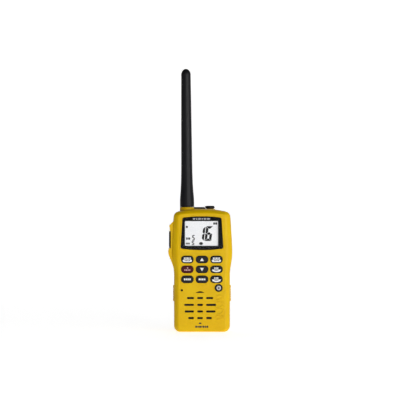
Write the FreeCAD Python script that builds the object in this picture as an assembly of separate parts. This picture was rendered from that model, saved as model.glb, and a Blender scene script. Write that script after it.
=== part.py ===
import FreeCAD, Part
import math
import os

# Handheld VHF radio with a whip antenna, a clip-on battery pack and a belt clip.
# Millimetres. X across (the press-to-talk key is at -X), front faces -Y, Z up.
# Origin: middle of the base, on the standing face.

os.makedirs("parts", exist_ok=True)
V = FreeCAD.Vector

# ---------------------------------------------------------------- driving dimensions
FRONT_Y = -18.0          # flat front face
SHOULDER_Y = -11.6       # where the soft front shoulder meets the side walls
SPLIT_Y = -2.0           # joint plane, front half to rear half
FLOOR_Y = 6.0            # outer face of the rear half behind the battery
PACK_Y = 6.3             # inner face of the battery pack
BACK_Y = 18.0            # back face
WALL = 2.0               # case wall
FACE_WALL_Y = -16.0      # inner face of the front wall
PACK_TOP_Z = 95.7        # top of the battery pack
UPPER_Z = 96.0           # underside of the rear case's thick upper part
BACK_R = 3.0             # rounding of the back edge

SPK_X, SPK_Z, SPK_R = -2.0, 28.0, 18.0      # speaker centre and basket radius
MIC_X, MIC_Z = -20.8, 43.3
VENT_X, VENT_Z = -1.95, 9.3                 # pressure vent low on the front
KEY_X = (-15.1, 0.0, 14.9)
KEY_Z = (75.0, 64.85, 54.6)
KEY_W, KEY_H, KEY_R = 12.5, 7.5, 3.4
KEY_CLEAR = 0.2
KEY_TOP_Y = -19.0
POWER_X, POWER_Z, POWER_R = 17.2, 45.7, 4.0

ANT_X, ANT_Y, ANT_SEAT_Z = -15.5, 7.0, 128.9
ANT_TILT_DEG = 0.5       # the whip leans a little to -X
JACK_X, JACK_Y = 8.3, 7.0
JACK_TOP_Z = 125.2       # mouth of the headset jack
JACK_R = 1.75            # bore for a 3.5 mm plug

SCREW_POS = ((-24.5, 5.5), (24.5, 5.5), (-24.5, 119.5), (24.5, 119.5))
CHASSIS_POS = ((-19.0, 16.0), (19.0, 16.0), (-19.0, 90.0), (19.0, 90.0))
LEDGE_POS = ((-22.4, 57.5), (22.4, 57.5), (-22.4, 103.0), (22.4, 103.0))

# Outline of the case seen from the front: (x, z, kind, value) on the +X half, bottom to top.
# kind "r" is a corner radius, kind "t" a short blend that starts this far from the corner.
HALF_OUT = ((28.9, 0.0, "r", 6.5), (28.9, 62.0, "t", 3.1), (31.5, 79.0, "t", 5.5), (31.0, 93.5, "t", 3.0),
            (29.85, 113.2, "t", 2.0), (29.0, 123.6, "r", 6.0), (16.0, 126.2, "t", 4.2), (0.0, 127.3, "t", 7.0))
HALF_FACE = ((23.7, 1.2, "r", 4.0), (23.7, 62.0, "t", 3.1), (24.1, 79.0, "t", 5.5), (24.0, 95.0, "t", 3.0),
             (23.8, 114.5, "t", 1.5), (23.5, 121.0, "r", 3.6), (13.0, 121.7, "t", 3.0), (0.0, 122.0, "t", 5.0))
# Front shoulder: (share of the way from the face loop to the outline, depth behind the face)
SHOULDER = ((0.0, 0.0), (0.13, 0.12), (0.30, 0.60), (0.66, 2.35), (0.83, 3.45), (0.94, 4.75), (1.0, 6.4))

# Display surround, a trapezoid with a bowed top and bottom
SURROUND = ((-22.2, 86.3), (-20.1, 118.1), (19.9, 118.1), (22.0, 86.3))
SURROUND_TOP_Z, SURROUND_BOTTOM_Z = 119.4, 84.8
LCD_X0, LCD_X1, LCD_Z0, LCD_Z1 = -17.6, 16.6, 89.1, 114.6


# ---------------------------------------------------------------- helpers
def mirrored(half):
    right = list(half)
    left = [(-x, z, k, v) for (x, z, k, v) in reversed(half) if abs(x) > 1e-9]
    return right + left


def loop(verts, y):
    """Closed wire of straight runs and arcs in the plane Y = y."""
    n = len(verts)
    start, middle, end = [], [], []
    for i in range(n):
        x, z, kind, value = verts[i]
        px, pz = verts[i - 1][0], verts[i - 1][1]
        nx, nz = verts[(i + 1) % n][0], verts[(i + 1) % n][1]
        ux, uz = px - x, pz - z
        wx, wz = nx - x, nz - z
        lu, lw = math.hypot(ux, uz), math.hypot(wx, wz)
        ux, uz, wx, wz = ux / lu, uz / lu, wx / lw, wz / lw
        half = math.acos(max(-1.0, min(1.0, ux * wx + uz * wz))) / 2.0
        trim = value if kind == "t" else value / math.tan(half)
        a = V(x + ux * trim, y, z + uz * trim)
        b = V(x + wx * trim, y, z + wz * trim)
        bx, bz = ux + wx, uz + wz
        lb = math.hypot(bx, bz)
        if lb < 1e-4:
            m = None
        else:
            r = trim * math.tan(half)
            d = r / math.sin(half) - r
            m = V(x + bx / lb * d, y, z + bz / lb * d)
        start.append(a)
        middle.append(m)
        end.append(b)
    edges = []
    for i in range(n):
        j = (i + 1) % n
        if middle[i] is None:
            edges.append(Part.LineSegment(start[i], end[i]).toShape())
        else:
            edges.append(Part.Arc(start[i], middle[i], end[i]).toShape())
        edges.append(Part.LineSegment(end[i], start[j]).toShape())
    return Part.Wire(edges)


def inset(verts, d):
    """The same loop moved inward by d (outward when d is negative); the list runs anticlockwise seen from -Y."""
    n = len(verts)
    lines = []
    for i in range(n):
        x0, z0 = verts[i][0], verts[i][1]
        x1, z1 = verts[(i + 1) % n][0], verts[(i + 1) % n][1]
        dx, dz = x1 - x0, z1 - z0
        s = math.hypot(dx, dz)
        dx, dz = dx / s, dz / s
        lines.append((x0 - dz * d, z0 + dx * d, dx, dz))
    out = []
    for i in range(n):
        ax, az, adx, adz = lines[i - 1]
        bx, bz, bdx, bdz = lines[i]
        det = adx * bdz - adz * bdx
        t = ((bx - ax) * bdz - (bz - az) * bdx) / det
        kind, value = verts[i][2], verts[i][3]
        if kind == "r":
            value = max(0.3, value - d)
        out.append((ax + adx * t, az + adz * t, kind, value))
    return out


def prism(verts, y0, y1):
    return Part.Face(loop(verts, y0)).extrude(V(0, y1 - y0, 0))


def between(a, b, t):
    return [(p[0] + (q[0] - p[0]) * t, p[1] + (q[1] - p[1]) * t, p[2], p[3] + (q[3] - p[3]) * t) for p, q in zip(a, b)]


def box(x0, x1, y0, y1, z0, z1):
    return Part.makeBox(x1 - x0, y1 - y0, z1 - z0, V(x0, y0, z0))


def rbox(x0, x1, z0, z1, r, y0, y1):
    """Block with rounded corners seen from the front."""
    return prism(((x1, z0, "r", r), (x1, z1, "r", r), (x0, z1, "r", r), (x0, z0, "r", r)), y0, y1)


def cyl(r, x, y, z, direction, length):
    return Part.makeCylinder(r, length, V(x, y, z), direction)


YP, YM = V(0, 1, 0), V(0, -1, 0)
XP, XM = V(1, 0, 0), V(-1, 0, 0)
ZP, ZM = V(0, 0, 1), V(0, 0, -1)


def ycyl(r, x, z, y0, y1):
    return cyl(r, x, y0, z, YP, y1 - y0)


def poly_prism(points, y0, y1):
    """Prism on straight (x, z) corners."""
    pts = [V(x, y0, z) for (x, z) in points]
    return Part.Face(Part.makePolygon(pts + [pts[0]])).extrude(V(0, y1 - y0, 0))


def turned(points, x, z):
    """Solid of revolution about the Y-parallel axis through (x, z); points are (r, y)."""
    pts = [V(x + r, y, z) for (r, y) in points]
    face = Part.Face(Part.makePolygon(pts + [pts[0]]))
    return face.revolve(V(x, 0, z), YP, 360)


def lathe_z(points, x, y):
    """Solid of revolution about the Z-parallel axis through (x, y); points are (r, z)."""
    pts = [V(x + r, y, z) for (r, z) in points]
    face = Part.Face(Part.makePolygon(pts + [pts[0]]))
    return face.revolve(V(x, y, 0), ZP, 360)


def surround(grow, y0, y1, r=2.0):
    """Trapezoid with bowed top and bottom, grown outward by `grow`."""
    (ax, az), (bx, bz), (cx, cz), (dx, dz) = SURROUND
    g = grow
    top = SURROUND_TOP_Z + g
    bot = SURROUND_BOTTOM_Z - g
    rr = r + g
    verts = ((dx + g, dz - g, "r", rr), (cx + g, cz + g, "r", rr), (10.0, (top * 2 + cz + g) / 3.0 + 0.25, "t", 2.5),
             (0.0, top + 0.12, "t", 4.0), (-10.0, (top * 2 + bz + g) / 3.0 + 0.25, "t", 2.5),
             (bx - g, bz + g, "r", rr), (ax - g, az - g, "r", rr), (-11.0, (bot * 2 + az - g) / 3.0 - 0.25, "t", 2.5),
             (0.0, bot - 0.12, "t", 4.0), (11.0, (bot * 2 + dz - g) / 3.0 - 0.25, "t", 2.5))
    return prism(verts, y0, y1)


def stroke(points, widths, y0, y1):
    """Raised rib along (x, z) points, with a width for each point."""
    left, right = [], []
    n = len(points)
    for i in range(n):
        x, z = points[i]
        a = points[max(0, i - 1)]
        b = points[min(n - 1, i + 1)]
        dx, dz = b[0] - a[0], b[1] - a[1]
        s = math.hypot(dx, dz)
        w = widths[i] / 2.0
        left.append(V(x - dz / s * w, y0, z + dx / s * w))
        right.append(V(x + dz / s * w, y0, z - dx / s * w))
    right.reverse()
    ca, cb = Part.BSplineCurve(), Part.BSplineCurve()
    ca.interpolate(left)
    cb.interpolate(right)
    edges = [ca.toShape(), Part.LineSegment(left[-1], right[0]).toShape(), cb.toShape(),
             Part.LineSegment(right[-1], left[0]).toShape()]
    return Part.Face(Part.Wire(edges)).extrude(V(0, y1 - y0, 0))


def soften(shape, picker, r):
    """Round the edges chosen by `picker`, or leave the shape as it is."""
    edges = [e for e in shape.Edges if picker(e)]
    if not edges:
        return shape
    for k in (1.0, 0.6, 0.35):
        try:
            s = shape.makeFillet(r * k, edges)
            if s.isValid() and s.Volume > 0:
                return s
        except Exception:
            pass
    return shape


def edge_at_y(y, tol=0.01):
    return lambda e: abs(e.BoundBox.YMin - y) < tol and abs(e.BoundBox.YMax - y) < tol


def join(first, *others):
    s = first
    for o in others:
        s = s.fuse(o)
    try:
        s = s.removeSplitter()
    except Exception:
        pass
    return s


def take(first, *others):
    s = first
    for o in others:
        s = s.cut(o)
    return s


def group(*solids):
    return Part.makeCompound(list(solids))


NODES = {}


def put(name, shape):
    NODES[name] = shape


OUT = mirrored(HALF_OUT)
FACE = mirrored(HALF_FACE)

# ---------------------------------------------------------------- outer forms
sections = [loop(between(FACE, OUT, t), FRONT_Y + dy) for t, dy in SHOULDER]
front_form = Part.makeLoft(sections, True, False).fuse(prism(OUT, SHOULDER_Y, SPLIT_Y))

back_sections = []
for deg in (0, 25, 50, 72, 90):
    a = math.radians(deg)
    back_sections.append(loop(inset(OUT, BACK_R * (1 - math.cos(a))), BACK_Y - BACK_R + BACK_R * math.sin(a)))
rear_form = Part.makeLoft(back_sections, True, False).fuse(prism(OUT, SPLIT_Y, BACK_Y - BACK_R))

# ---------------------------------------------------------------- front case
SLOT_H = 2.2
slots = []


def slot(x0, x1, z, cut_left=False, cut_right=False):
    h = SLOT_H / 2.0
    s = rbox(x0, x1, z - h, z + h, 1.0, FRONT_Y - 1.0, FACE_WALL_Y + 0.5)
    return s


for z, x_left, x_right in ((35.3, -15.5, 11.5), (28.3, -18.3, 14.5), (21.5, -17.8, 13.9), (14.7, -14.1, 10.1)):
    slots.append(slot(x_left, -8.3, z))
    slots.append(slot(-5.0, 1.0, z))
    slots.append(slot(4.3, x_right, z))
lens = Part.Wire([Part.Arc(V(-6.5, -19, 40.6), V(-2.05, -19, 42.3), V(2.4, -19, 40.6)).toShape(),
                  Part.LineSegment(V(2.4, -19, 40.6), V(-6.5, -19, 40.6)).toShape()])
slots.append(Part.Face(lens).extrude(V(0, 3.5, 0)))

front = front_form
front = take(front, rbox(-25.0, 25.0, 3.0, 121.0, 4.0, FACE_WALL_Y, -13.0), prism(inset(OUT, WALL), -13.3, SPLIT_Y))
front = take(front, *slots)
front = take(front, surround(0.05, FRONT_Y - 1.0, FACE_WALL_Y + 0.5))
for kx in KEY_X:
    for kz in KEY_Z:
        c = KEY_CLEAR
        front = take(front, rbox(kx - KEY_W / 2 - c, kx + KEY_W / 2 + c, kz - KEY_H / 2 - c, kz + KEY_H / 2 + c,
                                 KEY_R + c, FRONT_Y - 1.0, FACE_WALL_Y + 0.5))
front = take(front, ycyl(POWER_R + 0.1, POWER_X, POWER_Z, FRONT_Y - 1, FACE_WALL_Y + 0.5),
             ycyl(1.2, MIC_X, MIC_Z, FRONT_Y - 1, FACE_WALL_Y + 0.5),
             rbox(VENT_X - 1.35, VENT_X + 1.35, VENT_Z - 0.8, VENT_Z + 0.8, 0.75, FRONT_Y - 1, FRONT_Y + 1.0))
# black membrane plug of the pressure vent
put("pressure_vent", rbox(VENT_X - 1.3, VENT_X + 1.3, VENT_Z - 0.75, VENT_Z + 0.75, 0.7, FRONT_Y + 0.45, FRONT_Y + 1.0))
# screw bosses and board ledges inside
inner_form = prism(inset(OUT, 1.0), -13.0, SPLIT_Y)
for sx, sz in SCREW_POS:
    front = front.fuse(ycyl(3.0, sx, sz, -13.8, SPLIT_Y))
    front = take(front, ycyl(1.15, sx, sz, -12.0, SPLIT_Y + 1))
for lx, lz in LEDGE_POS:
    s = 1.0 if lx > 0 else -1.0
    x0, x1 = sorted((s * 21.1, s * 31.0))
    front = front.fuse(box(x0, x1, -13.0, -10.2, lz - 2.6, lz + 2.6).common(inner_form))
    front = take(front, ycyl(1.05, lx, lz, -12.9, -9.0))
# stem hole of the press-to-talk key
PTT_STEM_Y, PTT_STEM_Z = -5.5, 95.5
PTT_FRONT_Y = -13.4      # front plane of the talk-key housing, set back on the shoulder
front = take(front, cyl(1.85, -34.0, PTT_STEM_Y, PTT_STEM_Z, XP, 8.0))
# raised lip round the display surround
lip = surround(1.15, FRONT_Y - 0.35, FRONT_Y + 0.3).cut(surround(0.35, FRONT_Y - 1.0, FRONT_Y + 1.0))
front = front.fuse(lip)
# shallow crease under the display
crease = Part.makeCylinder(9.0, 39.0, V(-19.5, FRONT_Y - 8.85, 82.4), XP)
front = front.cut(crease)
# moulded ribs beside the loudspeaker, four curls
for zc, h, w0 in ((35.6, 4.6, 8.2), (28.0, 6.2, 8.4), (21.0, 6.0, 8.4), (15.1, 3.8, 8.2)):
    x0, x1 = 14.2 + (8.4 - w0), 22.6
    pts = [(x0, zc + h * 0.34), (x0 + 2.2, zc + h * 0.46), (x0 + 5.0, zc + h * 0.46), (x1 - 0.9, zc + h * 0.30),
           (x1 - 0.7, zc + h * 0.02), (x1 - 2.6, zc - h * 0.26), (x0 + 3.2, zc - h * 0.40), (x0 + 0.6, zc - h * 0.46)]
    wid = [0.5, 1.0, 1.25, 1.35, 1.35, 1.2, 0.9, 0.45]
    front = front.fuse(stroke(pts, wid, FRONT_Y - 0.55, FRONT_Y + 0.4))
put("front_case", front.removeSplitter())

# ---------------------------------------------------------------- press-to-talk housing
ph = Part.makePolygon([V(x, PTT_FRONT_Y, z) for x, z in (
    (-27.8, 115.4), (-30.1, 114.0), (-33.8, 110.2), (-33.75, 108.6), (-33.4, 107.6), (-33.45, 104.5), (-32.25, 104.5),
    (-32.25, 86.5), (-34.4, 86.5), (-34.95, 83.4), (-34.7, 80.3), (-33.6, 77.2), (-31.0, 70.9), (-29.3, 66.2),
    (-27.8, 65.4), (-27.8, 115.4))])
housing = Part.Face(ph).extrude(V(0, 5.5 - PTT_FRONT_Y, 0))
housing = housing.cut(front_form).cut(rear_form)
housing = housing.cut(box(-36.0, -28.0, -11.0, 1.0, 86.5, 104.5))
hs = sorted(housing.Solids, key=lambda s: s.Volume)
housing = hs[-1]
housing = soften(housing, lambda e: edge_at_y(PTT_FRONT_Y)(e) and e.BoundBox.XMin < -33.3 and e.Length > 1.5, 0.5)
put("ptt_housing", housing)

pad = box(-34.0, -32.1, -10.7, 0.7, 86.8, 104.2)
pad = soften(pad, lambda e: e.BoundBox.XMax < -33.9, 0.6)
ptt = pad
for i in range(7):
    zc = 89.2 + 2.15 * i
    ptt = ptt.fuse(box(-34.32, -33.8, -9.2, -0.8, zc - 0.4, zc + 0.4))
ptt = ptt.fuse(cyl(1.5, -33.3, PTT_STEM_Y, PTT_STEM_Z, XP, 6.3))
put("ptt_button", ptt.removeSplitter())
put("ptt_switch", join(box(-25.6, -21.8, -8.0, -4.6, 92.6, 98.4), cyl(0.9, -26.1, PTT_STEM_Y, PTT_STEM_Z, XP, 0.6)))

# ---------------------------------------------------------------- display
put("display_window", surround(0.0, -17.9, -16.9))
ring = surround(0.0, -16.9, FACE_WALL_Y).fuse(surround(1.2, FACE_WALL_Y, -15.2))
ring = ring.cut(rbox(LCD_X0, LCD_X1, LCD_Z0, LCD_Z1, 0.8, -18.0, -14.0))
put("display_bezel", ring.removeSplitter())
put("lcd_panel", box(-19.5, 18.5, -15.2, -13.4, 87.0, 116.6))
put("lcd_backlight", box(-19.5, 18.5, -13.4, -11.4, 87.0, 116.6))
holder = box(-20.9, 19.9, -15.2, -10.2, 85.6, 118.0).cut(box(-19.5, 18.5, -15.3, -11.4, 87.0, 116.6))
holder = holder.cut(box(-12.0, 11.0, -12.0, -10.0, 93.0, 111.0))
put("lcd_holder", holder)

# ---------------------------------------------------------------- keypad
mat = rbox(-23.2, 23.2, 49.0, 80.5, 1.5, -14.3, -13.3).fuse(box(11.6, 23.2, -14.3, -13.3, 41.2, 50.6))
for kx in KEY_X:
    for kz in KEY_Z:
        mat = mat.cut(rbox(kx - 2.9, kx + 2.9, kz - 2.4, kz + 2.4, 0.6, -15.0, -13.0))
mat = mat.cut(ycyl(2.4, POWER_X, POWER_Z, -15.0, -13.0))
put("keypad_mat", mat.removeSplitter())


def key(kx, kz):
    cap = rbox(kx - KEY_W / 2, kx + KEY_W / 2, kz - KEY_H / 2, kz + KEY_H / 2, KEY_R, KEY_TOP_Y, -15.9)
    cap = soften(cap, edge_at_y(KEY_TOP_Y), 0.7)
    flange = rbox(kx - 6.8, kx + 6.8, kz - 4.3, kz + 4.3, 3.8, -15.9, -15.1)
    stem = box(kx - 2.5, kx + 2.5, -15.2, -11.3, kz - 2.0, kz + 2.0)
    return cap.fuse(flange).fuse(stem).removeSplitter()


for row, kz in enumerate(KEY_Z):
    for col, kx in enumerate(KEY_X):
        put("key_r%dc%d" % (row + 1, col + 1), key(kx, kz))
pk = turned(((0, -11.3), (2.0, -11.3), (2.0, -15.1), (5.0, -15.1), (5.0, -15.9), (POWER_R, -15.9), (POWER_R, -18.5),
             (3.7, -18.8), (2.75, -18.8), (2.45, -18.3), (0.55, -18.3), (0.0, -17.9)), POWER_X, POWER_Z)
pk = pk.cut(box(POWER_X - 6, POWER_X + 6, -16.0, -15.0, POWER_Z + 4.2, POWER_Z + 6))
put("key_power", pk)
domes = [ycyl(2.6, kx, kz, -10.5, -10.2) for kx in KEY_X for kz in KEY_Z] + [ycyl(2.6, POWER_X, POWER_Z, -10.5, -10.2)]
put("key_domes", group(*domes))
cb = box(-24.0, 24.0, -10.2, -9.0, 40.5, 116.0).cut(ycyl(SPK_R + 0.3, SPK_X, SPK_Z, -11, -8))
for lx, lz in LEDGE_POS:
    cb = cb.cut(ycyl(1.1, lx, lz, -11, -8))
put("control_board", cb)

# ---------------------------------------------------------------- loudspeaker and microphone
put("speaker_mesh", ycyl(SPK_R, SPK_X, SPK_Z, FACE_WALL_Y, -15.6))
put("speaker_frame", turned(((0, -11.8), (9.6, -11.8), (16.4, -14.8), (16.4, -15.6), (SPK_R, -15.6), (SPK_R, -14.0),
                             (16.9, -14.0), (10.0, -11.0), (0, -11.0)), SPK_X, SPK_Z))
put("speaker_cone", turned(((0, -14.3), (2.6, -13.9), (5.2, -13.3), (14.6, -15.45), (16.4, -15.45), (16.4, -15.1),
                            (14.9, -15.1), (5.2, -12.9), (0, -12.9)), SPK_X, SPK_Z))
put("speaker_magnet", ycyl(9.0, SPK_X, SPK_Z, -11.0, -7.0))
put("mic_boot", take(ycyl(3.8, MIC_X, MIC_Z, FACE_WALL_Y, -13.0), ycyl(3.0, MIC_X, MIC_Z, -15.4, -12.0),
                     ycyl(1.25, MIC_X, MIC_Z, -17.0, -15.0)))
put("microphone", ycyl(3.0, MIC_X, MIC_Z, -15.4, -13.0))

# ---------------------------------------------------------------- boards and chassis
mb = box(-24.0, 24.0, -4.6, -3.2, 12.0, 112.0)
for cx, cz in CHASSIS_POS:
    mb = mb.cut(ycyl(1.1, cx, cz, -5, -3))
put("main_board", mb)
put("rf_shield", take(box(-17.0, 5.0, -8.2, -4.6, 60.0, 87.0), box(-16.7, 4.7, -7.9, -4.5, 60.3, 86.7)))
put("rf_power_module", join(box(8.0, 22.0, -7.6, -4.6, 99.0, 111.5), box(6.4, 23.6, -5.4, -4.6, 99.0, 111.5)))
ch = box(-22.5, 22.5, 1.0, 4.0, 12.0, 94.0)
ch = ch.cut(box(-14.0, 14.0, 0.0, 2.4, 24.0, 82.0))
for i in range(5):
    zc = 30.0 + 11.5 * i
    ch = ch.fuse(box(-14.2, 14.2, 1.2, 2.6, zc - 0.7, zc + 0.7))
for cx, cz in CHASSIS_POS:
    ch = ch.fuse(ycyl(2.5, cx, cz, -3.2, 1.5))
    ch = ch.cut(ycyl(1.05, cx, cz, -4.0, 0.2))
CONTACT_X = (-6.0, 0.0, 6.0)
CONTACT_Z = 20.0
ch = ch.cut(rbox(-8.6, 8.6, 16.6, 22.9, 1.0, 0.0, 5.0))
put("chassis_plate", ch.removeSplitter())
bs = []
for cx, cz in CHASSIS_POS:
    s = ycyl(1.0, cx, cz, -4.6, -1.2).fuse(ycyl(1.9, cx, cz, -6.0, -4.6))
    bs.append(s.cut(box(cx - 1.3, cx + 1.3, -6.5, -5.5, cz - 0.25, cz + 0.25)).cut(box(cx - 0.25, cx + 0.25, -6.5, -5.5, cz - 1.3, cz + 1.3)))
for cx, cz in LEDGE_POS:
    s = ycyl(1.0, cx, cz, -12.4, -9.0).fuse(ycyl(1.9, cx, cz, -9.0, -7.6))
    bs.append(s.cut(box(cx - 1.3, cx + 1.3, -8.1, -7.1, cz - 0.25, cz + 0.25)).cut(box(cx - 0.25, cx + 0.25, -8.1, -7.1, cz - 1.3, cz + 1.3)))
put("board_screws", group(*bs))
put("radio_contacts", group(*[ycyl(0.8, x, CONTACT_Z, -3.2, 6.1) for x in CONTACT_X]))

# ---------------------------------------------------------------- rear case
rear = rear_form.common(box(-40, 40, SPLIT_Y, FLOOR_Y, -5, 140)).fuse(rear_form.common(box(-40, 40, FLOOR_Y - 1, BACK_Y + 1, UPPER_Z, 140)))
# antenna boss and headset jack boss on the top
boss = lathe_z(((0, 120.0), (7.6, 120.0), (7.6, 128.35), (7.1, 128.9), (0, 128.9)), ANT_X, ANT_Y)
flare = Part.makePolygon([V(x, ANT_Y, z) for x, z in ((-15.5, 127.5), (-8.6, 127.5), (-8.0, 127.2), (-6.9, 127.05),
                                                      (-2.0, 126.6), (-2.0, 122.0), (-15.5, 122.0), (-15.5, 127.5))])
flare = Part.Face(flare).extrude(V(0, 5.6, 0))
flare.translate(V(0, -2.8, 0))
jboss = lathe_z(((0, 121.0), (5.3, 121.0), (5.3, 126.8), (5.0, 127.1), (0, 127.1)), JACK_X, JACK_Y)
strap_pad = box(-8.6, 6.0, JACK_Y - 2.9, JACK_Y + 2.9, 122.0, 127.1)
rear = rear.fuse(boss).fuse(flare).fuse(jboss).fuse(strap_pad)
# lanyard eye on the back
LUG_X0, LUG_X1, LUG_Y, LUG_Z = 13.0, 17.0, 20.3, 112.5
lug = Part.makeCylinder(3.4, LUG_X1 - LUG_X0, V(LUG_X0, LUG_Y, LUG_Z), XP)
lug_root = Part.makePolygon([V(LUG_X0, y, z) for y, z in ((16.9, LUG_Z + 5.2), (18.0, LUG_Z + 5.0), (21.6, LUG_Z + 3.1),
                                                         (21.6, LUG_Z - 3.1), (18.0, LUG_Z - 5.0), (16.9, LUG_Z - 5.2),
                                                         (16.9, LUG_Z + 5.2))])
lug_root = Part.Face(lug_root).extrude(V(LUG_X1 - LUG_X0, 0, 0))
rear = rear.fuse(lug).fuse(lug_root)
# hollow
rear = rear.cut(prism(inset(OUT, WALL), SPLIT_Y - 1, 4.0).common(box(-40, 40, -5, 10, -5, 122.5)))
rear = rear.cut(box(-26.5, 26.5, SPLIT_Y - 1, 16.0, 98.0, 122.5).common(prism(inset(OUT, WALL + 0.4), SPLIT_Y - 1, 16.0)))
# screw seats
for sx, sz in SCREW_POS:
    if sz < 60:
        rear = rear.fuse(ycyl(3.6, sx, sz, SPLIT_Y, 5.0).common(rear_form))
        rear = rear.cut(ycyl(2.6, sx, sz, 4.0, 7.0))
    else:
        rear = rear.fuse(ycyl(4.0, sx, sz, SPLIT_Y, 17.0).common(rear_form))
        rear = rear.cut(ycyl(2.6, sx, sz, 4.0, 19.0))
    rear = rear.cut(ycyl(1.3, sx, sz, SPLIT_Y - 1, 5.0))
# latch keepers: one pocket on each side, its outer wall sloping 0.15 in 1
for s in (-1.0, 1.0):
    x0, x1 = sorted((s * 23.2, s * 28.4))
    rear = rear.fuse(box(x0, x1, 0.0, 5.0, 35.0, 44.0))
    pocket = Part.makePolygon([V(s * x, y, 36.6) for x, y in ((24.2, 1.0), (26.95 + 0.15 * 4.6, 1.0),
                                                              (26.95 - 0.15 * 1.4, 7.0), (24.2, 7.0), (24.2, 1.0))])
    rear = rear.cut(Part.Face(pocket).extrude(V(0, 0, 5.8)))
# sealing groove round the joint
groove = prism(inset(OUT, 0.7), SPLIT_Y - 0.5, SPLIT_Y + 0.8).cut(prism(inset(OUT, 1.5), SPLIT_Y - 1, SPLIT_Y + 2))
rear = rear.cut(groove)
# contact holes, antenna bushing hole, jack holes, lanyard bore
for x in CONTACT_X:
    rear = rear.cut(ycyl(0.85, x, CONTACT_Z, 3.0, 7.0))
rear = rear.cut(cyl(3.3, ANT_X, ANT_Y, 121.0, ZP, 10.0))
rear = rear.cut(cyl(3.05, JACK_X, JACK_Y, 121.0, ZP, 8.0), )
rear = rear.cut(cyl(3.75, JACK_X, JACK_Y, JACK_TOP_Z, ZP, 8.0))
rear = rear.cut(cyl(1.75, LUG_X0 - 1, LUG_Y, LUG_Z, XP, LUG_X1 - LUG_X0 + 2))
# anchor hole of the jack cover
ANCHOR_X = -5.6
rear = rear.cut(cyl(1.2, ANCHOR_X, JACK_Y, 123.6, ZP, 6.0))
put("rear_case", rear.removeSplitter())
put("case_gasket", prism(inset(OUT, 0.7), SPLIT_Y, SPLIT_Y + 0.8).cut(prism(inset(OUT, 1.5), SPLIT_Y - 1, SPLIT_Y + 2)))
cs = []
for sx, sz in SCREW_POS:
    s = ycyl(1.1, sx, sz, -11.0, 4.0).fuse(ycyl(2.3, sx, sz, 4.0, 5.6))
    s = s.cut(box(sx - 1.5, sx + 1.5, 5.0, 6.0, sz - 0.3, sz + 0.3)).cut(box(sx - 0.3, sx + 0.3, 5.0, 6.0, sz - 1.5, sz + 1.5))
    cs.append(s)
put("case_screws", group(*cs))

# ---------------------------------------------------------------- antenna, built upright and then leaned over
ANT_P = V(ANT_X, ANT_Y, ANT_SEAT_Z)


def lean(shape):
    s = shape.copy()
    s.rotate(ANT_P, V(0, 1, 0), -ANT_TILT_DEG)
    return s


def up(points):
    """Turned about the antenna axis; points are (r, height above the seat)."""
    return lathe_z([(r, ANT_SEAT_Z + h) for r, h in points], ANT_X, ANT_Y)


conn = up(((0, -8.3), (5.0, -8.3), (5.0, -6.47), (3.175, -6.47), (3.175, 5.4), (2.9, 5.6), (0.85, 5.6), (0.85, 3.4), (0, 3.4)))
put("antenna_connector", lean(conn))
feed = join(cyl(0.6, ANT_X, ANT_Y, 107.0, ZP, 13.62), box(ANT_X - 0.8, ANT_X + 0.8, -3.2, ANT_Y + 0.8, 106.0, 107.2))
put("rf_feed", feed)

whip_line = [(7.30, 0.15), (7.38, 0.6), (7.38, 3.0), (7.10, 11.3), (6.45, 19.6), (6.08, 27.9), (5.85, 38.1), (5.65, 58.7),
             (5.40, 89.6), (5.12, 120.0), (4.95, 137.0)]
edges = []
pts = [V(ANT_X + r, ANT_Y, ANT_SEAT_Z + h) for r, h in whip_line]
for a, b in zip(pts[:3], pts[1:3]):
    edges.append(Part.LineSegment(a, b).toShape())
curve = Part.BSplineCurve()
curve.interpolate(pts[2:])
edges.append(curve.toShape())
tip_top = V(ANT_X, ANT_Y, ANT_SEAT_Z + 143.8)
tip_mid = V(ANT_X + 3.95, ANT_Y, ANT_SEAT_Z + 141.3)
tip = Part.BSplineCurve()
tip.interpolate([pts[-1], V(ANT_X + 4.75, ANT_Y, ANT_SEAT_Z + 139.4), tip_mid, V(ANT_X + 2.3, ANT_Y, ANT_SEAT_Z + 143.1), tip_top])
edges.append(tip.toShape())
edges.append(Part.LineSegment(tip_top, V(ANT_X, ANT_Y, ANT_SEAT_Z + 0.15)).toShape())
edges.append(Part.LineSegment(V(ANT_X, ANT_Y, ANT_SEAT_Z + 0.15), pts[0]).toShape())
whip = Part.Face(Part.Wire(edges)).revolve(V(ANT_X, ANT_Y, 0), ZP, 360)
core_space = up(((0, 0.0), (4.2, 0.0), (4.2, 9.0), (1.5, 9.0), (1.5, 125.0), (0, 125.0)))
seal_space = up(((4.2, 0.0), (6.2, 0.0), (6.2, 0.95), (4.2, 0.95)))
# two shallow grip rings near the root of the whip
rings = None
for h in (4.6, 6.4, 8.2):
    g = up(((7.05, h - 0.28), (8.0, h - 0.28), (8.0, h + 0.28), (7.05, h + 0.28)))
    rings = g if rings is None else rings.fuse(g)
whip = whip.cut(core_space).cut(seal_space)
put("antenna_whip", lean(whip))
put("antenna_ferrule", lean(up(((3.225, 0.3), (4.2, 0.3), (4.2, 9.0), (0, 9.0), (0, 6.7), (3.225, 6.7)))))
put("antenna_core", lean(up(((0, 9.0), (1.5, 9.0), (1.5, 125.0), (0, 125.0)))))
torus = Part.makeTorus(5.2, 0.4, V(ANT_X, ANT_Y, ANT_SEAT_Z + 0.45), ZP)
put("antenna_seal", lean(torus))

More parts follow.
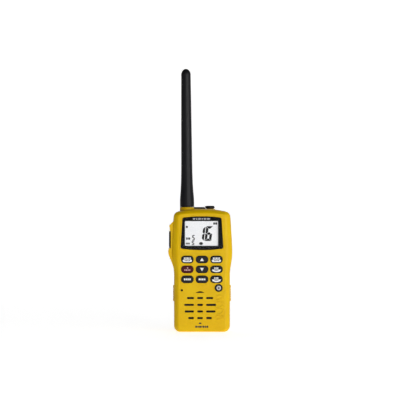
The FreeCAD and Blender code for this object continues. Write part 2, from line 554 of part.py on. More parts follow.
# ---------------------------------------------------------------- headset jack and its cover
put("jack_socket", take(cyl(3.0, JACK_X, JACK_Y, 112.0, ZP, JACK_TOP_Z - 112.0), cyl(JACK_R, JACK_X, JACK_Y, 113.2, ZP, 20.0)))
HINGE_X, HINGE_Z = 3.4, 129.3       # axis of the cover's flexing neck
st = box(-8.6, 2.8, JACK_Y - 2.2, JACK_Y + 2.2, 127.1, 129.0)
st = soften(st, lambda e: e.BoundBox.ZMin > 128.95, 0.35)
st = st.fuse(box(2.0, 3.6, JACK_Y - 2.2, JACK_Y + 2.2, 127.1, 128.25))   # thin bridge under the cover's neck
st = st.fuse(cyl(1.15, ANCHOR_X, JACK_Y, 124.2, ZP, 3.4)).cut(flare).cut(boss)
put("jack_strap", st.removeSplitter())
cap = lathe_z(((0, 127.3), (4.45, 127.3), (4.55, 127.55), (4.55, 129.6), (4.3, 130.05), (3.8, 130.3), (0, 130.4)), JACK_X, JACK_Y)
cap = cap.fuse(lathe_z(((2.4, 126.4), (3.2, 126.4), (3.3, 126.6), (3.3, 128.2), (2.4, 128.2)), JACK_X, JACK_Y))
cap = cap.fuse(box(HINGE_X - 0.1, 6.0, JACK_Y - 2.2, JACK_Y + 2.2, 128.3, HINGE_Z + 0.5))
cap = cap.fuse(Part.makeCylinder(0.55, 4.4, V(HINGE_X, JACK_Y - 2.2, HINGE_Z), YP))
cap = cap.fuse(box(12.0, 13.3, JACK_Y - 1.6, JACK_Y + 1.6, 128.1, 129.3))
put("jack_cap", cap.removeSplitter())

# ---------------------------------------------------------------- battery pack
pack_form = rear_form.common(box(-40, 40, PACK_Y, BACK_Y + 1, -5, PACK_TOP_Z))
hollow = prism(inset(OUT, WALL), PACK_Y - 1, 16.0).common(box(-40, 40, 0, 30, -5, PACK_TOP_Z - WALL))
bcase = pack_form.cut(hollow)
for s in (-1.0, 1.0):
    x0, x1 = sorted((s * 26.0, s * 31.0))
    bcase = bcase.cut(box(x0, x1, 7.3, 13.3, 30.7, 48.3))
# moulded grip ribs across the back, clear of the clip
for i in range(4):
    zc = 6.0 + 2.6 * i
    bcase = bcase.fuse(box(-17.0, 17.0, 17.5, 18.5, zc - 0.5, zc + 0.5))
CHARGE_X = (-7.0, 7.0)
for x in CHARGE_X:
    bcase = bcase.cut(cyl(1.9, x, 12.0, -1.0, ZP, 4.0))
# rubber seal let into the pack's rim, it closes the joint to the radio
seal_ring = prism(inset(OUT, 0.7), PACK_Y - 0.27, PACK_Y + 0.6).cut(prism(inset(OUT, 1.5), PACK_Y - 1, PACK_Y + 2))
seal_ring = seal_ring.common(box(-40, 40, 0, 30, -5, PACK_TOP_Z - 1.4))
seal_ring = seal_ring.fuse(box(-29.6, 29.6, PACK_Y - 0.27, PACK_Y + 0.6, PACK_TOP_Z - 1.4, PACK_TOP_Z - 0.6).common(prism(inset(OUT, 0.7), PACK_Y - 1, PACK_Y + 2)))
seal_ring = seal_ring.removeSplitter()
put("pack_seal", seal_ring)
bcase = bcase.cut(seal_ring)
put("battery_case", bcase.removeSplitter())
inner = prism(inset(OUT, WALL), PACK_Y, PACK_Y + 1.3).common(box(-40, 40, 0, 30, -5, PACK_TOP_Z - WALL))
for s in (-1.0, 1.0):
    x0, x1 = sorted((s * 23.3, s * 28.0))
    inner = inner.cut(box(x0, x1, 5.0, 9.0, 36.2, 42.8))
for x in CONTACT_X:
    inner = inner.cut(ycyl(1.9, x, CONTACT_Z, 5.0, 9.0))
put("battery_base", inner)
put("battery_cells", group(rbox(-22.8, -0.2, 26.0, 90.0, 2.5, 9.2, 16.0), rbox(0.2, 22.8, 26.0, 90.0, 2.5, 9.2, 16.0)))
put("battery_board", box(-20.0, 20.0, 7.6, 8.8, 8.0, 90.0))
# three terminals facing the radio and two charging pads in the base
put("battery_terminals", group(*([ycyl(1.8, x, CONTACT_Z, PACK_Y + 0.2, 7.6) for x in CONTACT_X]
                                 + [cyl(1.85, x, 12.0, 0.2, ZP, 2.4) for x in CHARGE_X])))

# ---------------------------------------------------------------- belt clip
PIN_Y, PIN_Z = 22.6, 88.0
br = rbox(-9.0, 9.0, 74.0, 94.5, 1.5, 18.0, 19.4)
for s in (-1.0, 1.0):
    x0, x1 = sorted((s * 7.6, s * 9.0))
    ear = Part.makeCylinder(2.2, x1 - x0, V(x0, PIN_Y, PIN_Z), XP).fuse(box(x0, x1, 19.0, PIN_Y, PIN_Z - 2.2, PIN_Z + 2.2))
    br = br.fuse(ear)
br = br.cut(cyl(1.05, -10.0, PIN_Y, PIN_Z, XP, 20.0))
CLIP_SCREW_Z = 78.0
for x in (-5.5, 5.5):
    br = br.cut(ycyl(1.3, x, CLIP_SCREW_Z, 17.0, 20.0))
put("clip_bracket", br.removeSplitter())
sc = []
for x in (-5.5, 5.5):
    s = ycyl(1.2, x, CLIP_SCREW_Z, 16.4, 19.4).fuse(ycyl(2.1, x, CLIP_SCREW_Z, 19.4, 20.6))
    sc.append(s.cut(box(x - 1.4, x + 1.4, 20.1, 21.0, CLIP_SCREW_Z - 0.3, CLIP_SCREW_Z + 0.3)).cut(
        box(x - 0.3, x + 0.3, 20.1, 21.0, CLIP_SCREW_Z - 1.4, CLIP_SCREW_Z + 1.4)))
bc = NODES["battery_case"]
for x in (-5.5, 5.5):
    bc = bc.cut(ycyl(1.25, x, CLIP_SCREW_Z, 15.0, 19.0))
put("battery_case", bc)
put("clip_screws", group(*sc))
put("clip_pin", join(cyl(1.0, -9.6, PIN_Y, PIN_Z, XP, 19.2)))

# torsion spring: coils round the pin, one leg on the bracket and one under the arm
COIL_R, WIRE_R, COIL_X0, COIL_X1 = 1.55, 0.3, -3.0, 3.0
helix = Part.makeHelix(0.75, COIL_X1 - COIL_X0, COIL_R)
profile = Part.Wire(Part.makeCircle(WIRE_R, V(COIL_R, 0, 0), V(0, 1, 0)))
spring = Part.Wire(helix.Edges).makePipeShell([profile], True, True)
spring.rotate(V(0, 0, 0), V(0, 1, 0), 90)
spring.translate(V(COIL_X0, PIN_Y, PIN_Z))


def wire_leg(x, y0, z0, y1, z1):
    d = V(0, y1 - y0, z1 - z0)
    return Part.makeCylinder(WIRE_R, d.Length, V(x, y0, z0), d)


spring = spring.fuse(wire_leg(COIL_X0, PIN_Y, PIN_Z - COIL_R, 19.74, 82.4)).fuse(wire_leg(COIL_X1, PIN_Y, PIN_Z - COIL_R, 24.55, 81.0))
put("clip_spring", spring)

ARM_Y0, ARM_Y1 = 25.2, 27.0
arm = rbox(-9.0, 9.0, 19.5, 99.0, 3.0, ARM_Y0, ARM_Y1)
arm = soften(arm, edge_at_y(ARM_Y1), 0.7)
barrel = Part.makeCylinder(2.4, 14.4, V(-7.2, PIN_Y, PIN_Z), XP).fuse(box(-7.2, 7.2, PIN_Y, ARM_Y0 + 0.2, PIN_Z - 2.4, PIN_Z + 2.4))
barrel = barrel.cut(cyl(1.08, -8.0, PIN_Y, PIN_Z, XP, 16.0))
barrel = barrel.cut(box(-3.6, 3.6, PIN_Y - 3.0, ARM_Y0 + 0.05, PIN_Z - 3.0, PIN_Z + 3.0))
hook = Part.makePolygon([V(-9.0, y, z) for y, z in ((ARM_Y1 - 0.4, 19.5), (20.4, 20.0), (18.5, 22.2), (18.45, 24.0), (20.6, 25.0),
                                                    (ARM_Y0 + 0.2, 28.6), (ARM_Y1 - 0.4, 28.6), (ARM_Y1 - 0.4, 19.5))])
hook = Part.Face(hook).extrude(V(18.0, 0, 0)).common(rbox(-9.0, 9.0, 19.5, 99.0, 3.0, 17.0, 28.0))
clip = arm.fuse(barrel).fuse(hook)
for i in range(4):
    zc = 90.9 + 2.0 * i
    clip = clip.fuse(box(-6.5, 6.5, ARM_Y1 - 0.2, ARM_Y1 + 0.45, zc - 0.45, zc + 0.45))
put("belt_clip", clip.removeSplitter())

# ---------------------------------------------------------------- battery latches
for name, s in (("latch_left", -1.0), ("latch_right", 1.0)):
    x0, x1 = sorted((s * 26.5, s * 30.1))
    button = box(x0, x1, 7.6, 13.0, 31.0, 48.0)
    button = soften(button, (lambda e, s=s: (e.BoundBox.XMin > 30.0) if s > 0 else (e.BoundBox.XMax < -30.0)), 0.9)
    for i in range(5):
        zc = 34.6 + 2.45 * i
        gx0, gx1 = sorted((s * 29.75, s * 31.0))
        button = button.cut(box(gx0, gx1, 7.0, 14.0, zc - 0.4, zc + 0.4))
    x0, x1 = sorted((s * 25.2, s * 26.7))
    body = button.fuse(box(x0, x1, 8.0, 14.0, 29.5, 49.5))
    tongue = Part.makePolygon([V(s * x, y, 37.0) for x, y in ((25.2, 1.6), (26.8 + 0.15 * 4.0, 1.6), (26.8, 5.6),
                                                              (26.7, 8.2), (25.2, 8.2), (25.2, 1.6))])
    put(name, body.fuse(Part.Face(tongue).extrude(V(0, 0, 5.0))).removeSplitter())

# ---------------------------------------------------------------- export
for name in sorted(NODES):
    NODES[name].exportStep("parts/" + name + ".step")
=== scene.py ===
import math
import random

import bmesh
import bpy
from mathutils import Matrix, Vector


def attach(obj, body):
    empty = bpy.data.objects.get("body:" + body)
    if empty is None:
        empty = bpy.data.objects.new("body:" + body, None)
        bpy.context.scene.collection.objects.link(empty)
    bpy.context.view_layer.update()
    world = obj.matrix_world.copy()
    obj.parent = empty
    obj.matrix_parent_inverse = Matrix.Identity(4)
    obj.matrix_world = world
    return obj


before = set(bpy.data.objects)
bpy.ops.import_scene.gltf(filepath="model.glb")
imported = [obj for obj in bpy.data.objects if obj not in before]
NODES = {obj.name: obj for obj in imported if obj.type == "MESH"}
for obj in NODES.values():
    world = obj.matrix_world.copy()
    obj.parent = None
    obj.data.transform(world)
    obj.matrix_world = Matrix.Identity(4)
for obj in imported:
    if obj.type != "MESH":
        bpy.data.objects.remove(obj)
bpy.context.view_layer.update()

MM = 0.001
random.seed(7)


# ------------------------------------------------------------------ materials
def new_mat(name):
    m = bpy.data.materials.new(name)
    m.use_nodes = True
    nt = m.node_tree
    nt.nodes.clear()
    out = nt.nodes.new("ShaderNodeOutputMaterial")
    bsdf = nt.nodes.new("ShaderNodeBsdfPrincipled")
    nt.links.new(bsdf.outputs["BSDF"], out.inputs["Surface"])
    return m, nt, bsdf


def node(nt, kind, **values):
    n = nt.nodes.new(kind)
    for k, v in values.items():
        if k in n.inputs:
            n.inputs[k].default_value = v
        else:
            setattr(n, k, v)
    return n


def srgb(r, g, b):
    f = lambda c: (c / 255.0) / 12.92 if c / 255.0 <= 0.04045 else ((c / 255.0 + 0.055) / 1.055) ** 2.4
    return (f(r), f(g), f(b), 1.0)


def scaled(col, k):
    return (min(1.0, col[0] * k), min(1.0, col[1] * k), min(1.0, col[2] * k), 1.0)


def noise_to(nt, coord, scale, detail=3.0, rough=0.55):
    n = node(nt, "ShaderNodeTexNoise")
    n.inputs["Scale"].default_value = scale
    n.inputs["Detail"].default_value = detail
    n.inputs["Roughness"].default_value = rough
    nt.links.new(coord, n.inputs["Vector"])
    return n.outputs["Fac"]


def map_range(nt, value, a, b, c, d):
    n = node(nt, "ShaderNodeMapRange")
    n.clamp = True
    for k, v in (("From Min", a), ("From Max", b), ("To Min", c), ("To Max", d)):
        n.inputs[k].default_value = v
    nt.links.new(value, n.inputs["Value"])
    return n.outputs["Result"]


def mix_col(nt, fac, a, b):
    n = node(nt, "ShaderNodeMix")
    n.data_type = "RGBA"
    nt.links.new(fac, n.inputs["Factor"])
    for sock, v in (("A", a), ("B", b)):
        s = [i for i in n.inputs if i.name == sock and i.type == "RGBA"][0]
        if isinstance(v, tuple):
            s.default_value = v
        else:
            nt.links.new(v, s)
    return [o for o in n.outputs if o.type == "RGBA"][0]


def surface(name, col, col2=None, rough=(0.38, 0.5), grain=(2600.0, 0.12), soft=0.0, wear=None, specular=0.5,
            patches=70.0, metallic=0.0, smudge=None, bevel=0.00022, coat=0.0, sheen=0.0):
    """Moulded or machined surface: slow colour drift, fine grain, uneven gloss and softened edges."""
    m, nt, bsdf = new_mat(name)
    co = node(nt, "ShaderNodeTexCoord").outputs["Object"]
    col2 = col2 or scaled(col, 0.9)
    drift = map_range(nt, noise_to(nt, co, patches, 4.0), 0.3, 0.7, 0.0, 1.0)
    c = mix_col(nt, drift, col, col2)
    speck = map_range(nt, noise_to(nt, co, grain[0] * 0.7, 2.0), 0.42, 0.75, 0.0, 0.22)
    c = mix_col(nt, speck, c, scaled(col, 0.78))
    if wear:
        w = map_range(nt, noise_to(nt, co, 900.0, 5.0, 0.7), 0.68, 0.78, 0.0, wear[1])
        c = mix_col(nt, w, c, wear[0])
    nt.links.new(c, bsdf.inputs["Base Color"])
    r = map_range(nt, noise_to(nt, co, 420.0, 5.0, 0.6), 0.3, 0.7, rough[0], rough[1])
    nt.links.new(r, bsdf.inputs["Roughness"])
    bsdf.inputs["Metallic"].default_value = metallic
    bsdf.inputs["Specular IOR Level"].default_value = specular
    if coat:
        bsdf.inputs["Coat Weight"].default_value = coat
        bsdf.inputs["Coat Roughness"].default_value = 0.12
    if sheen:
        bsdf.inputs["Sheen Weight"].default_value = sheen
        bsdf.inputs["Sheen Roughness"].default_value = 0.4
    bump = node(nt, "ShaderNodeBump")
    bump.inputs["Strength"].default_value = grain[1]
    bump.inputs["Distance"].default_value = 0.00012
    nt.links.new(noise_to(nt, co, grain[0], 3.0), bump.inputs["Height"])
    if bevel:
        bv = node(nt, "ShaderNodeBevel")
        bv.samples = 4
        bv.inputs["Radius"].default_value = bevel
        nt.links.new(bv.outputs["Normal"], bump.inputs["Normal"])
    nt.links.new(bump.outputs["Normal"], bsdf.inputs["Normal"])
    return m


YELLOW = srgb(225, 186, 0)
YELLOW_DEEP = srgb(219, 174, 0)
MATS = {}
MATS["yellow"] = surface("yellow_shell", YELLOW, YELLOW_DEEP, rough=(0.36, 0.46), grain=(2600.0, 0.16), specular=0.16)
MATS["yellow_side"] = surface("yellow_housing", srgb(219, 180, 4), YELLOW_DEEP, rough=(0.4, 0.5), grain=(2600.0, 0.16), specular=0.16)
MATS["rubber"] = surface("black_rubber", srgb(22, 22, 24), srgb(17, 17, 19), rough=(0.42, 0.56), grain=(1800.0, 0.2), specular=0.2)
MATS["whip"] = surface("whip_rubber", srgb(27, 27, 30), srgb(22, 22, 25), rough=(0.32, 0.42), grain=(1500.0, 0.2), specular=0.14, patches=40.0)
MATS["black"] = surface("black_plastic", srgb(24, 24, 26), srgb(19, 19, 21), rough=(0.4, 0.52), grain=(2400.0, 0.2))
MATS["surround"] = surface("surround_black", srgb(10, 10, 12), srgb(7, 7, 9), rough=(0.14, 0.2), grain=(3000.0, 0.02), specular=0.12)
MATS["key"] = surface("key_rubber", srgb(24, 25, 28), srgb(19, 20, 23), rough=(0.38, 0.5), grain=(2200.0, 0.15), specular=0.2)
MATS["key_red"] = surface("key_rubber_red", srgb(70, 10, 18), srgb(58, 8, 14), rough=(0.38, 0.5), grain=(2200.0, 0.15), specular=0.18)
MATS["key_grey"] = surface("key_rubber_grey", srgb(20, 21, 23), srgb(16, 17, 19), rough=(0.36, 0.48), grain=(2200.0, 0.15), specular=0.2)
MATS["grey_disc"] = surface("power_disc", srgb(196, 196, 198), srgb(180, 180, 182), rough=(0.35, 0.5), grain=(2200.0, 0.12))
MATS["seal"] = surface("seal_rubber", srgb(30, 30, 30), rough=(0.55, 0.7), grain=(1500.0, 0.2))
MATS["mat_rubber"] = surface("mat_rubber", srgb(120, 120, 118), rough=(0.55, 0.7), grain=(1500.0, 0.2))
MATS["pcb"] = surface("circuit_board", srgb(24, 84, 44), srgb(20, 70, 38), rough=(0.25, 0.35), grain=(900.0, 0.1), patches=300.0)
MATS["steel"] = surface("plated_steel", srgb(170, 170, 172), srgb(150, 150, 152), rough=(0.24, 0.38), grain=(1800.0, 0.06), metallic=1.0)
MATS["screw"] = surface("screw_steel", srgb(150, 150, 152), srgb(120, 120, 122), rough=(0.28, 0.42), grain=(1800.0, 0.08), metallic=1.0)
MATS["alu"] = surface("die_cast", srgb(190, 190, 192), srgb(172, 172, 175), rough=(0.4, 0.55), grain=(700.0, 0.25), metallic=1.0)
MATS["brass"] = surface("machined_brass", srgb(205, 170, 95), srgb(190, 150, 80), rough=(0.22, 0.34), grain=(1600.0, 0.06), metallic=1.0)
MATS["gold"] = surface("contact_gold", srgb(225, 185, 95), srgb(210, 165, 80), rough=(0.16, 0.28), grain=(1600.0, 0.04), metallic=1.0)
MATS["white_plastic"] = surface("white_plastic", srgb(228, 228, 224), rough=(0.4, 0.5), grain=(2000.0, 0.1))
MATS["mesh_black"] = surface("speaker_weave", srgb(12, 12, 12), rough=(0.75, 0.9), grain=(1400.0, 0.5), bevel=0)
MATS["cone"] = surface("speaker_cone", srgb(40, 40, 42), rough=(0.5, 0.65), grain=(1400.0, 0.2))
MATS["magnet"] = surface("magnet_plated", srgb(120, 120, 122), rough=(0.35, 0.5), grain=(800.0, 0.2), metallic=1.0)
MATS["cell"] = surface("cell_wrap", srgb(92, 104, 150), srgb(84, 94, 138), rough=(0.3, 0.42), grain=(900.0, 0.06))


def window_mat():
    """Clear moulded window: nearly all of the light goes straight through, the rest is a soft gloss."""
    m, nt, bsdf = new_mat("window_clear")
    co = node(nt, "ShaderNodeTexCoord").outputs["Object"]
    tint = map_range(nt, noise_to(nt, co, 60.0, 3.0), 0.3, 0.7, 0.0, 1.0)
    nt.links.new(mix_col(nt, tint, (0.03, 0.033, 0.036, 1.0), (0.02, 0.022, 0.025, 1.0)), bsdf.inputs["Base Color"])
    bsdf.inputs["Alpha"].default_value = 0.13
    bsdf.inputs["IOR"].default_value = 1.49
    r = map_range(nt, noise_to(nt, co, 160.0, 4.0), 0.35, 0.75, 0.03, 0.09)
    nt.links.new(r, bsdf.inputs["Roughness"])
    return m


def lcd_painted_glow_mat():
    m, nt, bsdf = new_mat("lcd_face_painted_glow")
    co = node(nt, "ShaderNodeTexCoord").outputs["Object"]
    tint = map_range(nt, noise_to(nt, co, 45.0, 2.0), 0.3, 0.7, 0.0, 1.0)
    c = mix_col(nt, tint, srgb(238, 238, 239), srgb(229, 230, 233))
    nt.links.new(c, bsdf.inputs["Base Color"])
    # painted glow: the display face emits its own pale colour so it reads bright white, standing in for light reaching
    # it through the window
    nt.links.new(c, bsdf.inputs["Emission Color"])
    bsdf.inputs["Emission Strength"].default_value = 0.66
    bsdf.inputs["Roughness"].default_value = 0.25
    return m


MATS["window"] = window_mat()
MATS["lcd"] = lcd_painted_glow_mat()

LOOK = {
    "front_case": "yellow", "rear_case": "yellow", "ptt_housing": "yellow_side", "battery_case": "yellow_side",
    "latch_left": "yellow_side", "latch_right": "yellow_side",
    "ptt_button": "rubber", "jack_cap": "rubber", "jack_strap": "rubber", "antenna_whip": "whip",
    "display_window": "window", "display_bezel": "surround", "lcd_panel": "lcd", "lcd_backlight": "white_plastic",
    "lcd_holder": "white_plastic", "keypad_mat": "mat_rubber", "key_domes": "steel", "key_power": "key_grey",
    "control_board": "pcb", "main_board": "pcb", "battery_board": "pcb", "speaker_mesh": "mesh_black",
    "speaker_frame": "steel", "speaker_cone": "cone", "speaker_magnet": "magnet", "microphone": "mesh_black",
    "mic_boot": "seal", "pressure_vent": "seal", "pack_seal": "seal", "rf_shield": "steel", "rf_power_module": "black", "chassis_plate": "alu",
    "board_screws": "screw", "case_screws": "screw", "clip_screws": "screw", "radio_contacts": "gold",
    "case_gasket": "seal", "antenna_connector": "brass", "rf_feed": "gold", "antenna_ferrule": "brass",
    "antenna_core": "steel", "antenna_seal": "seal", "jack_socket": "black", "battery_base": "black",
    "battery_cells": "cell", "battery_terminals": "gold", "clip_bracket": "black",
    "clip_pin": "steel", "clip_spring": "steel", "belt_clip": "black", "ptt_switch": "black",
}
for name, obj in NODES.items():
    key = LOOK.get(name)
    if key is None and name.startswith("key_r"):
        key = "key_red" if name == "key_r2c1" else "key"
    mat = MATS[key]
    if obj.data.materials:
        for i in range(len(obj.data.materials)):
            obj.data.materials[i] = mat
    else:
        obj.data.materials.append(mat)


# the window is drawn in by a few hundredths of a millimetre, so that its back face does not share a plane with the
# black surround behind it
gap = NODES["display_window"].modifiers.new("clearance", "DISPLACE")
gap.direction = "NORMAL"
gap.mid_level = 0.0
gap.strength = -0.00003

# ------------------------------------------------------------------ small printed pieces
def print_mat(name, col, rough=0.5, glow=0.0):
    m, nt, bsdf = new_mat(name)
    co = node(nt, "ShaderNodeTexCoord").outputs["Object"]
    f = map_range(nt, noise_to(nt, co, 1500.0, 3.0), 0.35, 0.75, 0.0, 1.0)
    c = mix_col(nt, f, col, scaled(col, 0.86))
    nt.links.new(c, bsdf.inputs["Base Color"])
    bsdf.inputs["Roughness"].default_value = rough
    if glow:
        nt.links.new(c, bsdf.inputs["Emission Color"])
        bsdf.inputs["Emission Strength"].default_value = glow
    return m


INK_WHITE = print_mat("ink_white", srgb(238, 238, 236), 0.45)
INK_DARK = print_mat("ink_dark", srgb(24, 22, 22), 0.5)
INK_RED = print_mat("ink_red", srgb(214, 168, 168), 0.5)
INK_GREY = print_mat("ink_grey", srgb(176, 176, 180), 0.4)
LCD_INK = print_mat("lcd_segment", srgb(10, 10, 12), 0.6)


def rounded(x0, x1, z0, z1, r, slant=0.0, steps=5):
    """Outline of a rounded bar in millimetres; slant leans it to +X with height."""
    r = min(r, (x1 - x0) / 2 - 1e-4, (z1 - z0) / 2 - 1e-4)
    pts = []
    for cx, cz, a0 in ((x1 - r, z0 + r, -90), (x1 - r, z1 - r, 0), (x0 + r, z1 - r, 90), (x0 + r, z0 + r, 180)):
        for i in range(steps + 1):
            a = math.radians(a0 + 90.0 * i / steps)
            pts.append((cx + r * math.cos(a), cz + r * math.sin(a)))
    return [(x + slant * (z - z0), z) for x, z in pts]


def ellipse(cx, cz, rx, rz, a0=0.0, a1=360.0, n=40):
    pts = []
    for i in range(n + 1):
        a = math.radians(a0 + (a1 - a0) * i / n)
        pts.append((cx + rx * math.cos(a), cz + rz * math.sin(a)))
    return pts[:-1] if abs(a1 - a0) >= 360 else pts


def plate(name, outlines, y_front, thick, mat, body):
    """Thin raised print: closed prisms on (x, z) outlines in millimetres, facing -Y."""
    bm = bmesh.new()
    for pts in outlines:
        a = sum(pts[i][0] * pts[(i + 1) % len(pts)][1] - pts[(i + 1) % len(pts)][0] * pts[i][1] for i in range(len(pts)))
        if a < 0:
            pts = pts[::-1]
        front = [bm.verts.new((x * MM, y_front * MM, z * MM)) for x, z in pts]
        back = [bm.verts.new((x * MM, (y_front + thick) * MM, z * MM)) for x, z in pts]
        bm.faces.new(front)
        bm.faces.new(back[::-1])
        n = len(pts)
        for i in range(n):
            j = (i + 1) % n
            bm.faces.new((front[j], front[i], back[i], back[j]))
    bmesh.ops.recalc_face_normals(bm, faces=bm.faces)
    me = bpy.data.meshes.new(name)
    bm.to_mesh(me)
    bm.free()
    o = bpy.data.objects.new(name, me)
    bpy.context.scene.collection.objects.link(o)
    me.materials.append(mat)
    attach(o, body)
    return o


def dashes(cx, cz, widths, h, gap, r=None):
    """A row of short rounded bars, centred on (cx, cz)."""
    total = sum(widths) + gap * (len(widths) - 1)
    x = cx - total / 2
    out = []
    for w in widths:
        out.append(rounded(x, x + w, cz - h / 2, cz + h / 2, r if r is not None else h * 0.28))
        x += w + gap
    return out


# Display contents: a plain channel number and a few level marks
LCD_Y = -15.2
SLANT = math.tan(math.radians(7.5))


def seven(ch, x, z, w, h, s, lean=SLANT):
    """Seven-segment figure on mitred bars; (x, z) is its lower left corner."""
    g = s * 0.07
    m = h / 2
    seg = {
        "a": [(g, h), (w - g, h), (w - s - g, h - s), (s + g, h - s)],
        "d": [(g, 0), (s + g, s), (w - s - g, s), (w - g, 0)],
        "g": [(s * 0.5 + g, m), (s + g * 0.6, m + s / 2), (w - s - g * 0.6, m + s / 2), (w - s * 0.5 - g, m),
              (w - s - g * 0.6, m - s / 2), (s + g * 0.6, m - s / 2)],
        "f": [(0, h - g), (s, h - s - g), (s, m + s / 2 + g), (s * 0.5, m + g), (0, m + g)],
        "e": [(0, g), (0, m - g), (s * 0.5, m - g), (s, m - s / 2 - g), (s, s + g)],
        "b": [(w, h - g), (w, m + g), (w - s * 0.5, m + g), (w - s, m + s / 2 + g), (w - s, h - s - g)],
        "c": [(w, g), (w - s, s + g), (w - s, m - s / 2 - g), (w - s * 0.5, m - g), (w, m - g)],
    }
    lit = {"1": "bc", "5": "afgcd", "6": "afgedc"}[ch]
    return [[(x + px + lean * pz, z + pz) for px, pz in seg[k]] for k in lit]


plate("lcd_channel", seven("1", -3.3, 94.2, 5.1, 14.9, 2.35) + seven("6", 2.45, 94.0, 7.0, 15.3, 2.55), LCD_Y - 0.06, 0.05, LCD_INK, "radio")
plate("lcd_levels", seven("5", -10.6, 94.6, 2.9, 5.6, 1.1) + seven("5", -11.0, 89.8, 2.8, 4.4, 1.0), LCD_Y - 0.06, 0.05, LCD_INK, "radio")
marks = dashes(-14.3, 96.5, (1.2, 1.1, 1.3), 2.5, 0.25) + dashes(-14.5, 91.4, (1.1, 1.2, 1.0), 2.0, 0.25)
marks += [ellipse(-15.6, 108.5, 1.05, 1.15), ellipse(-1.0, 91.4, 2.0, 1.5)]
marks += [rounded(11.7, 13.4, 110.9, 113.2, 0.4), rounded(13.7, 15.6, 110.9, 113.2, 0.4)]
plate("lcd_marks", marks, LCD_Y - 0.06, 0.05, LCD_INK, "radio")

# Generic row of dashes where a name would be, and another near the base
plate("surround_mark", dashes(-0.5, 116.9, (2.4, 1.6, 2.8, 1.6, 2.6, 3.2), 1.9, 0.75), -16.93, 0.02, INK_GREY, "radio")
plate("base_mark", dashes(-0.3, 5.75, (1.9, 1.3, 2.0, 1.0, 1.7, 1.3, 1.8), 2.2, 0.4), -18.04, 0.05, INK_DARK, "radio")

KX = (-15.1, 0.0, 14.9)
KZ = (75.0, 64.85, 54.6)
KEY_Y = -19.0


def key_print(r, c, tag, outlines, mat):
    plate("legend_%d%d_%s" % (r, c, tag), outlines, KEY_Y - 0.05, 0.06, mat, "key_r%dc%d" % (r, c))


def lower_patch(x, z):
    return ellipse(x, z - 0.15, 4.7, 2.7, 180, 360, 28)


for (r, c) in ((1, 1), (1, 3)):
    x, z = KX[c - 1], KZ[r - 1]
    key_print(r, c, "patch", [rounded(x - 4.7, x + 4.7, z - 2.6, z + 0.1, 1.3)], INK_WHITE)
    key_print(r, c, "top", dashes(x, z + 1.4, (1.2, 1.0, 1.4, 1.0, 1.2), 1.5, 0.35), INK_WHITE)
    o = plate("legend_%d%d_low" % (r, c), dashes(x, z - 1.1, (1.0, 1.3, 0.9, 1.2), 0.9, 0.35), KEY_Y - 0.08, 0.03, INK_DARK, "key_r%dc%d" % (r, c))
for (r, c) in ((2, 3), (3, 3)):
    x, z = KX[c - 1], KZ[r - 1]
    key_print(r, c, "patch", [lower_patch(x, z)], INK_WHITE)
    key_print(r, c, "top", dashes(x - 0.2, z + 1.3, (1.1, 1.1, 1.3), 1.4, 0.35), INK_WHITE)
    plate("legend_%d%d_low" % (r, c), dashes(x, z - 1.25, (0.9, 1.2, 0.9), 0.8, 0.35), KEY_Y - 0.08, 0.03, INK_DARK, "key_r%dc%d" % (r, c))
for c in (1, 2):
    x, z = KX[c - 1], KZ[2]
    key_print(3, c, "line", dashes(x, z, (1.5, 1.3, 1.5, 1.6), 2.0, 0.4), INK_WHITE)
x, z = KX[1], KZ[0]
key_print(1, 2, "up", [[(x - 2.0, z - 1.6), (x + 2.0, z - 1.6), (x, z + 1.8)]], INK_WHITE)
x, z = KX[1], KZ[1]
key_print(2, 2, "down", [[(x + 2.0, z + 1.6), (x - 2.0, z + 1.6), (x, z - 1.8)]], INK_WHITE)
x, z = KX[0], KZ[1]
key_print(2, 1, "mark", dashes(x, z - 0.7, (1.0, 1.4, 1.0, 1.2), 1.3, 0.5) + [ellipse(x + 0.2, z + 1.5, 0.8, 0.55)], INK_RED)

# Power key: a grey ring set in the black rubber, with a dark middle
PX, PZ = 17.2, 45.7
bm = bmesh.new()
prof = [(0.85, -18.36), (0.98, -18.42), (2.28, -18.45), (2.42, -18.36), (2.42, -18.2), (0.85, -18.2)]
rings = []
N = 48
for i in range(N):
    a = 2 * math.pi * i / N
    rings.append([bm.verts.new(((PX + r_ * math.cos(a)) * MM, y_ * MM, (PZ + r_ * math.sin(a)) * MM)) for r_, y_ in prof])
for i in range(N):
    j = (i + 1) % N
    for k in range(len(prof)):
        l = (k + 1) % len(prof)
        bm.faces.new((rings[i][k], rings[i][l], rings[j][l], rings[j][k]))
bmesh.ops.recalc_face_normals(bm, faces=bm.faces)
me = bpy.data.meshes.new("power_ring")
bm.to_mesh(me)
bm.free()
for p in me.polygons:
    p.use_smooth = True
o = bpy.data.objects.new("power_ring", me)
bpy.context.scene.collection.objects.link(o)
me.materials.append(MATS["grey_disc"])
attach(o, "key_power")


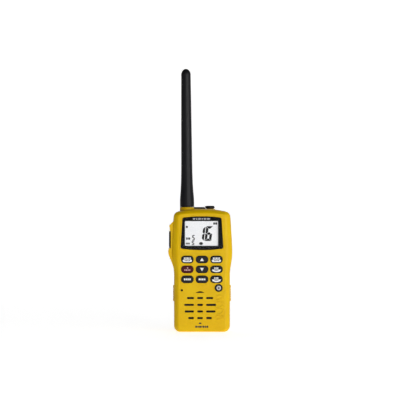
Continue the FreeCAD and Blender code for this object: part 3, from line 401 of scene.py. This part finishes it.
# ------------------------------------------------------------------ stage, lights, camera
def stage_floor():
    m, nt, bsdf = new_mat("floor_pale")
    co = node(nt, "ShaderNodeTexCoord").outputs["Object"]
    f = map_range(nt, noise_to(nt, co, 3.0, 2.0), 0.3, 0.7, 0.0, 1.0)
    nt.links.new(mix_col(nt, f, (0.92, 0.92, 0.92, 1.0), (0.9, 0.9, 0.9, 1.0)), bsdf.inputs["Base Color"])
    bsdf.inputs["Roughness"].default_value = 0.8
    bsdf.inputs["Emission Color"].default_value = (1.0, 1.0, 1.0, 1.0)
    split = node(nt, "ShaderNodeSeparateXYZ")
    nt.links.new(co, split.inputs["Vector"])
    sides = []
    for axis in ("X", "Y"):
        n = node(nt, "ShaderNodeMath")
        n.operation = "ABSOLUTE"
        nt.links.new(split.outputs[axis], n.inputs[0])
        sides.append(n.outputs[0])
    spread = node(nt, "ShaderNodeMath")
    spread.operation = "MULTIPLY"
    spread.inputs[1].default_value = 0.08
    nt.links.new(sides[1], spread.inputs[0])
    off = node(nt, "ShaderNodeMath")
    off.operation = "SUBTRACT"
    nt.links.new(sides[0], off.inputs[0])
    nt.links.new(spread.outputs[0], off.inputs[1])
    near_glow = map_range(nt, off.outputs[0], 0.23, 0.5, 0.72, 0.2)
    # far out to the sides the flat floor is pale again, too low to light the object
    far = node(nt, "ShaderNodeMath")
    far.operation = "MULTIPLY"
    nt.links.new(map_range(nt, off.outputs[0], 0.55, 1.2, 0.0, 0.44), far.inputs[0])
    nt.links.new(map_range(nt, split.outputs["Z"], 0.0, 0.03, 1.0, 0.0), far.inputs[1])
    glow = node(nt, "ShaderNodeMath")
    glow.operation = "ADD"
    nt.links.new(near_glow, glow.inputs[0])
    nt.links.new(far.outputs[0], glow.inputs[1])
    nt.links.new(glow.outputs[0], bsdf.inputs["Emission Strength"])
    bm = bmesh.new()
    rows = []
    prof = [(-6.0, 0.0), (1.6, 0.0)]
    for i in range(1, 13):
        a = math.radians(90.0 * i / 12)
        prof.append((1.6 + 1.2 * math.sin(a), 1.2 - 1.2 * math.cos(a)))
    prof.append((2.8, 5.0))
    for y, z in prof:
        rows.append([bm.verts.new((x, y, z - 0.00002)) for x in (-6.0, 6.0)])
    for a, b in zip(rows, rows[1:]):
        bm.faces.new((a[0], a[1], b[1], b[0]))
    me = bpy.data.meshes.new("floor")
    bm.to_mesh(me)
    bm.free()
    for p in me.polygons:
        p.use_smooth = True
    o = bpy.data.objects.new("floor", me)
    bpy.context.scene.collection.objects.link(o)
    me.materials.append(m)


stage_floor()


def area(name, loc, target, size, power, size_y=None, col=(1, 1, 1)):
    l = bpy.data.lights.new(name, "AREA")
    l.shape = "RECTANGLE"
    l.size = size
    l.size_y = size_y or size
    l.energy = power
    l.color = col
    o = bpy.data.objects.new(name, l)
    bpy.context.scene.collection.objects.link(o)
    o.location = loc
    o.rotation_mode = "QUATERNION"
    o.rotation_quaternion = (Vector(target) - Vector(loc)).to_track_quat("-Z", "Y")
    return o


area("key_light", (1.35, -1.25, 0.12), (0, 0, 0.09), 0.7, 14.5, 0.8)
area("front_fill", (0.7, -2.3, 0.5), (0, 0, 0.12), 0.8, 16.5)
area("strip_left", (-0.8, -1.5, 0.6), (0, 0, 0.22), 0.08, 0.25, 0.8)

# Room: level with the object it is pale; overhead, to the left and straight in front it is dim
world = bpy.data.worlds.new("studio")
bpy.context.scene.world = world
world.use_nodes = True
wt = world.node_tree
bg = wt.nodes["Background"]
bg.inputs["Color"].default_value = (1.0, 1.0, 1.0, 1.0)
direction = node(wt, "ShaderNodeTexCoord").outputs["Generated"]
split = node(wt, "ShaderNodeSeparateXYZ")
wt.links.new(direction, split.inputs["Vector"])
high = map_range(wt, split.outputs["Z"], 0.03, 0.7, 1.0, 0.12)
side = map_range(wt, split.outputs["X"], -0.5, 0.6, 0.06, 1.0)
near = map_range(wt, split.outputs["Y"], -0.995, -0.88, 0.12, 1.0)
lit = node(wt, "ShaderNodeMath")
lit.operation = "MULTIPLY"
wt.links.new(high, lit.inputs[0])
wt.links.new(near, lit.inputs[1])
both = node(wt, "ShaderNodeMath")
both.operation = "MULTIPLY"
wt.links.new(lit.outputs[0], both.inputs[0])
wt.links.new(side, both.inputs[1])
level = node(wt, "ShaderNodeMath")
level.operation = "MULTIPLY"
level.inputs[1].default_value = 0.5
wt.links.new(both.outputs[0], level.inputs[0])
wt.links.new(level.outputs[0], bg.inputs["Strength"])

sc = bpy.context.scene
sc.view_settings.view_transform = "Standard"
sc.view_settings.look = "None"
sc.view_settings.exposure = 0.0
sc.view_settings.gamma = 1.0

DIST = 2.6
HALF = 0.206
cam_data = bpy.data.cameras.new("camera")
cam_data.sensor_width = 36.0
cam_data.lens = 18.0 / (HALF / DIST)
cam_data.clip_start = 0.05
cam_data.clip_end = 50.0
cam = bpy.data.objects.new("camera", cam_data)
sc.collection.objects.link(cam)
cam.location = (-2.06 * MM, -DIST - 0.018, 136.3 * MM)
cam.rotation_euler = (math.radians(90.0), 0.0, 0.0)
sc.camera = cam
